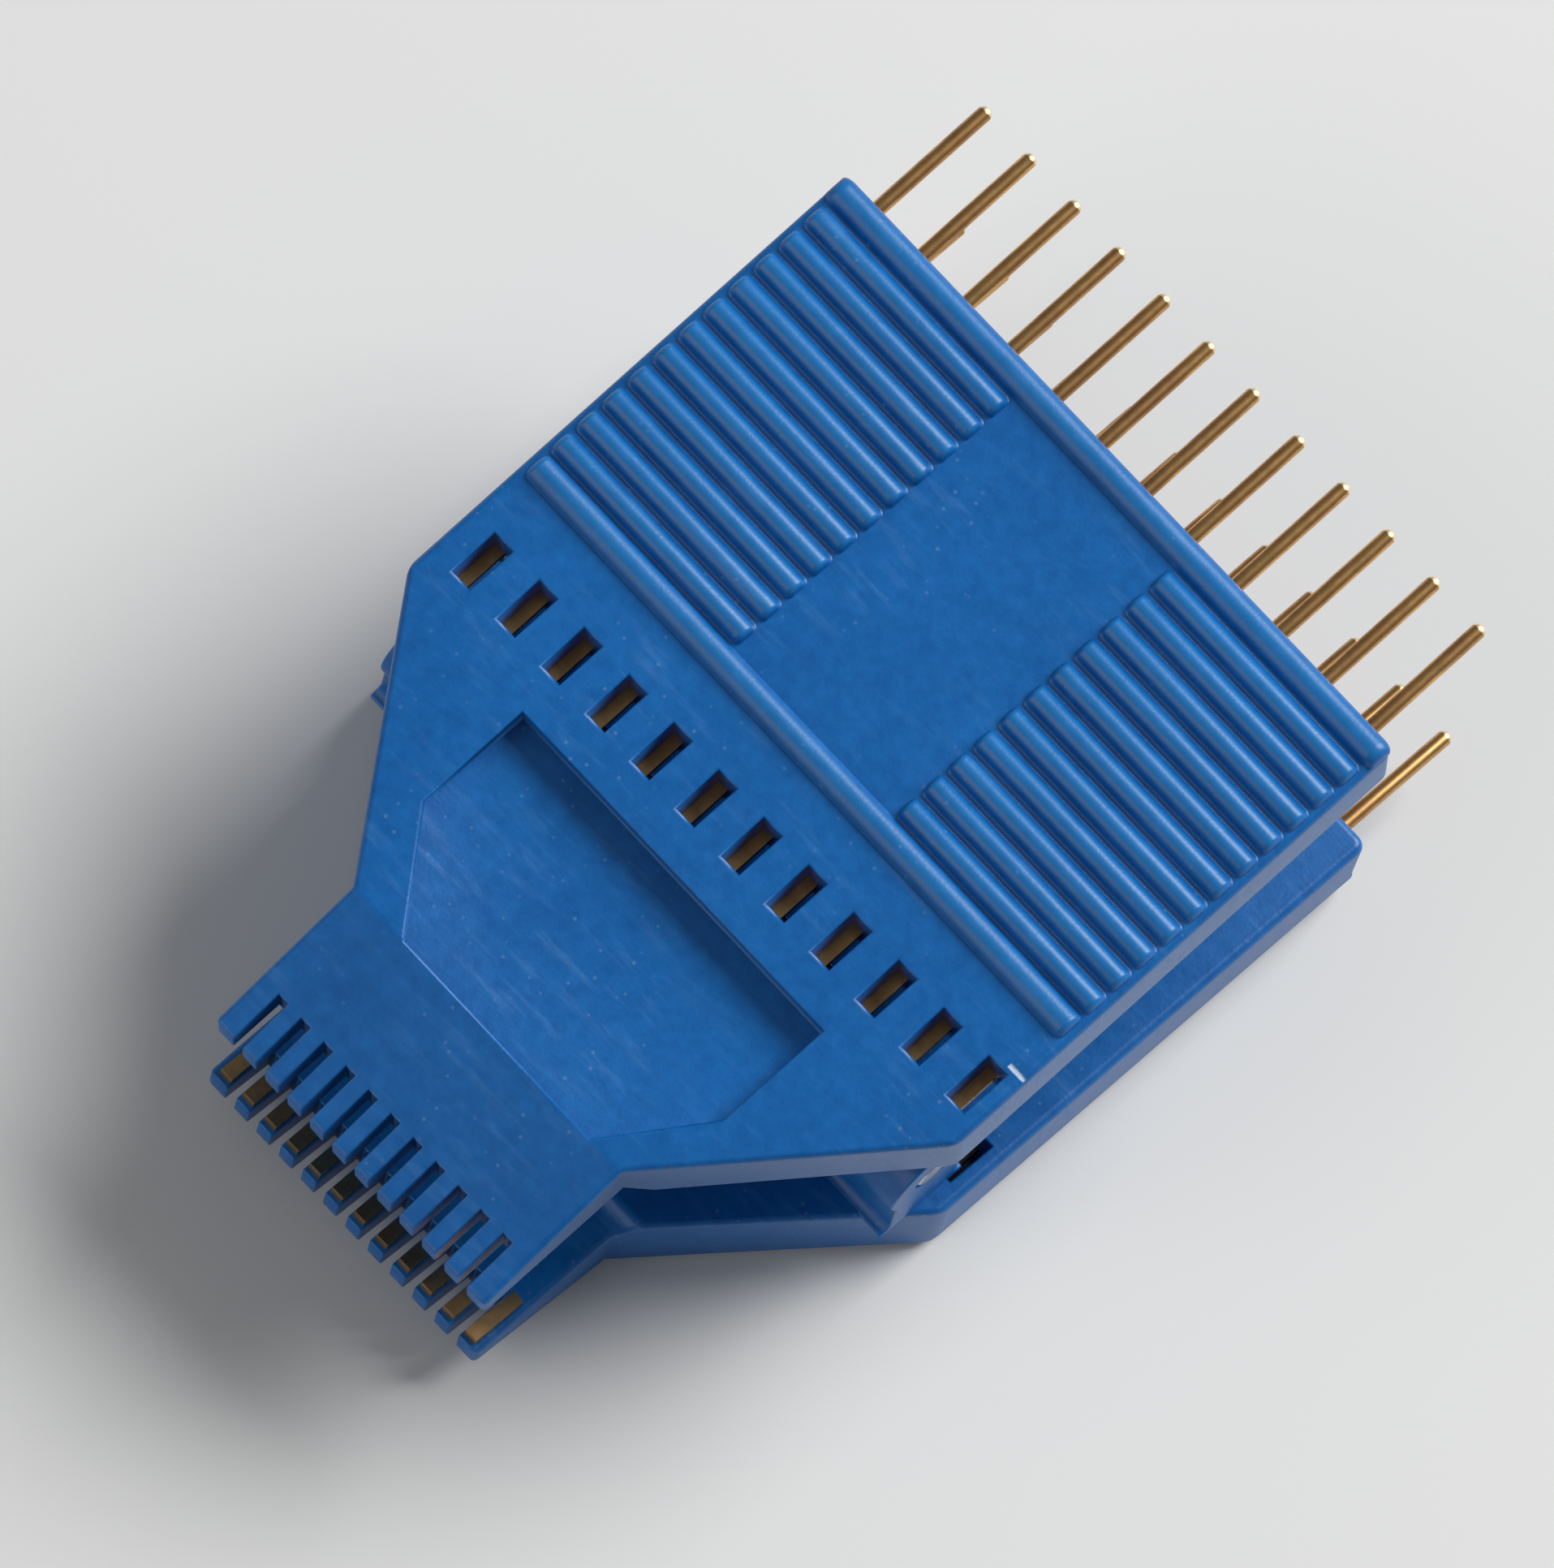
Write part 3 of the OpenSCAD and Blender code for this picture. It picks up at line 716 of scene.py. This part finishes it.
pin_x, lead_x, pin_r, foot, end, depth, wide, high, fan_top, fan_low, tip_y, tip_depth, material = start_tree(
    "contact", Pin_X=0.0, Lead_X=0.0, Pin_Radius=0.32, Foot=20.0, End=26.9, Depth=1.9, Wide=0.6, High=0.46,
    Fan_Top=-3.1, Fan_Low=-12.3, Tip_Y=-19.25, Tip_Depth=3.3,
)
DOME_ROWS, DOME_ANGLE = 9, math.radians(84)
rod = pin_x.node(
    "GeometryNodeMeshCylinder", Vertices=24, Side_Segments=DOME_ROWS + 1, Radius=1.0, Depth=1.0
)
a, b, c = pin_x.node("GeometryNodeInputPosition").parts()
row = (c + 0.5) * (DOME_ROWS + 1)
# Marks the rows of the domed end, where the gold material paints its highlight
rod = pin_x.node(
    "GeometryNodeStoreNamedAttribute", {"data_type": "FLOAT", "domain": "POINT"}, Geometry=rod,
    Name="tip", Value=(row - 2.0).clamped(),
)
lean = (row - 1.0).most(0.0) * (DOME_ANGLE / DOME_ROWS)
ring_r = pin_r * lean.cos()
y = foot + (end - pin_r + pin_r * lean.sin() - foot) * row.clamped()
rod = pin_x.node(
    "GeometryNodeSetPosition", Geometry=rod,
    Position=pin_x.point((pin_x + a * ring_r) * MM, y * MM, (depth - b * ring_r) * MM),
)
step = pin_x.node("GeometryNodeInputIndex")
first, second, third = [(step - n).clamped() for n in (0.0, 1.0, 2.0)]
SINK = 0.25
bends = pin_x.node("GeometryNodeMeshLine", Count=4)
bends = pin_x.node(
    "GeometryNodeSetPosition", Geometry=bends,
    Position=pin_x.point(
        (pin_x + (lead_x - pin_x) * second) * MM,
        (foot + (fan_top - foot) * first + (fan_low - fan_top) * second + (tip_y - fan_low) * third) * MM,
        (depth + SINK + (tip_depth - depth - SINK) * third) * MM,
    ),
)
path = pin_x.node("GeometryNodeMeshToCurve", Mesh=bends)
path = pin_x.node("GeometryNodeFilletCurve", {"mode": "POLY"}, Curve=path, Radius=0.9 * MM, _1=5)
path = pin_x.node("GeometryNodeSetCurveNormal", {"mode": "Z_UP"}, Curve=path)
strip = pin_x.node("GeometryNodeCurvePrimitiveQuadrilateral", Width=wide * MM, Height=high * MM)
wire = pin_x.node("GeometryNodeCurveToMesh", Curve=path, Profile_Curve=strip, Fill_Caps=True)
contact = finish_tree(pin_x.node("GeometryNodeJoinGeometry", Geometry=[wire, rod]), material)

for half in half_places:
    for k in range(CONTACTS):
        step = k - (CONTACTS - 1) / 2
        node_name = half.replace("half", "contact_") + str(k + 1)
        piece = grown(
            contact, "contact", gold, Pin_X=step * HEADER_PITCH, Lead_X=step * LEAD_PITCH
        )
        piece = joined(node_name.replace("contact", "pin"), [piece], half_places[half])
        piece.data.materials.clear()
        piece.data.materials.append(gold)
        piece.data.shade_smooth()
        piece.data.set_sharp_from_angle(angle=math.radians(40))
        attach(piece, half)
        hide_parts(node_name)

# The hinge pin is a plain ground steel rod, pressed into the knuckles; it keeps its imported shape.
steel, shader, place = start_material("ground_steel", Metallic=1.0)
tone = place.node("ShaderNodeTexNoise", Vector=place, Scale=900.0, Detail=3.0)
lines = place.node(
    "ShaderNodeTexNoise", Vector=place.node("ShaderNodeMapping", Vector=place, Scale=(60.0, 1.0, 1.0)), Scale=400.0
)
finish_material(
    shader, place, tone.mix((0.42, 0.42, 0.44, 1), (0.58, 0.58, 0.60, 1)), tone * 0.15 + 0.20, lines, 3e-6
)
frame["nodes"]["hinge_pin"].data.materials.clear()
frame["nodes"]["hinge_pin"].data.materials.append(steel)

# The two springs between the handles: steel wire wound round the pegs of both halves, with a
# closed turn at each end. They push the handles apart and are squeezed as the jaw opens.
spring_steel, shader, place = start_material("spring_steel", Metallic=1.0)
tone = place.node("ShaderNodeTexNoise", Vector=place, Scale=1300.0, Detail=4.0)
finish_material(
    shader, place, tone.mix((0.30, 0.30, 0.31, 1), (0.50, 0.50, 0.51, 1)), tone * 0.2 + 0.24, tone, 3e-6
)
SPRING_TURNS = 6.0
SPRING_HALF_L = SEAT_TO_AXIS - SEAT_FLOOR_CLEARANCE
turns, coil_d, wire_d, long, material = start_tree(
    "spring", Turns=SPRING_TURNS, Coil=SPRING_D, Wire=SPRING_WIRE, Long=2 * SPRING_HALF_L
)
CLOSED = 1.0
ALL_TURNS = SPRING_TURNS + 2 * CLOSED
coil = turns.node(
    "GeometryNodeCurveSpiral", Resolution=32, Rotations=ALL_TURNS, Start_Radius=(coil_d - wire_d) * 0.5 * MM,
    End_Radius=(coil_d - wire_d) * 0.5 * MM, Height=0.0,
)
turn = turns.node("GeometryNodeSplineParameter") * ALL_TURNS
lead = (long - wire_d * (1 + 2 * CLOSED)) / turns
climb = wire_d * turn.least(CLOSED) + lead * (turn - CLOSED).least(turns).most(0.0)
climb = climb + wire_d * (turn - (CLOSED + SPRING_TURNS)).most(0.0) + wire_d * 0.5 - long * 0.5
coil = turns.node(
    "GeometryNodeSetPosition", Geometry=coil, Offset=turns.point(0.0, 0.0, climb * MM)
)
coil = turns.node("GeometryNodeSetCurveNormal", {"mode": "Z_UP"}, Curve=coil)
round_wire = turns.node("GeometryNodeCurvePrimitiveCircle", Resolution=12, Radius=wire_d * 0.5 * MM)
coil = turns.node("GeometryNodeCurveToMesh", Curve=coil, Profile_Curve=round_wire, Fill_Caps=True)
spring = finish_tree(coil, material)

middle_plane = Matrix.Translation(hinge_axis) @ Matrix.Rotation(back_tilt + half_angle, 4, "X")
for name, x in (("spring_left", -SPRING_X), ("spring_right", SPRING_X)):
    place_at = middle_plane @ Matrix.Translation(Vector((x, SPRING_FROM_HINGE, 0)) * MM)
    piece = joined(name.replace("spring", "coil"), [grown(spring, name, spring_steel)], place_at)
    piece.data.materials.clear()
    piece.data.materials.append(spring_steel)
    piece.data.shade_smooth()
    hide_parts(name)
    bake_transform(piece)
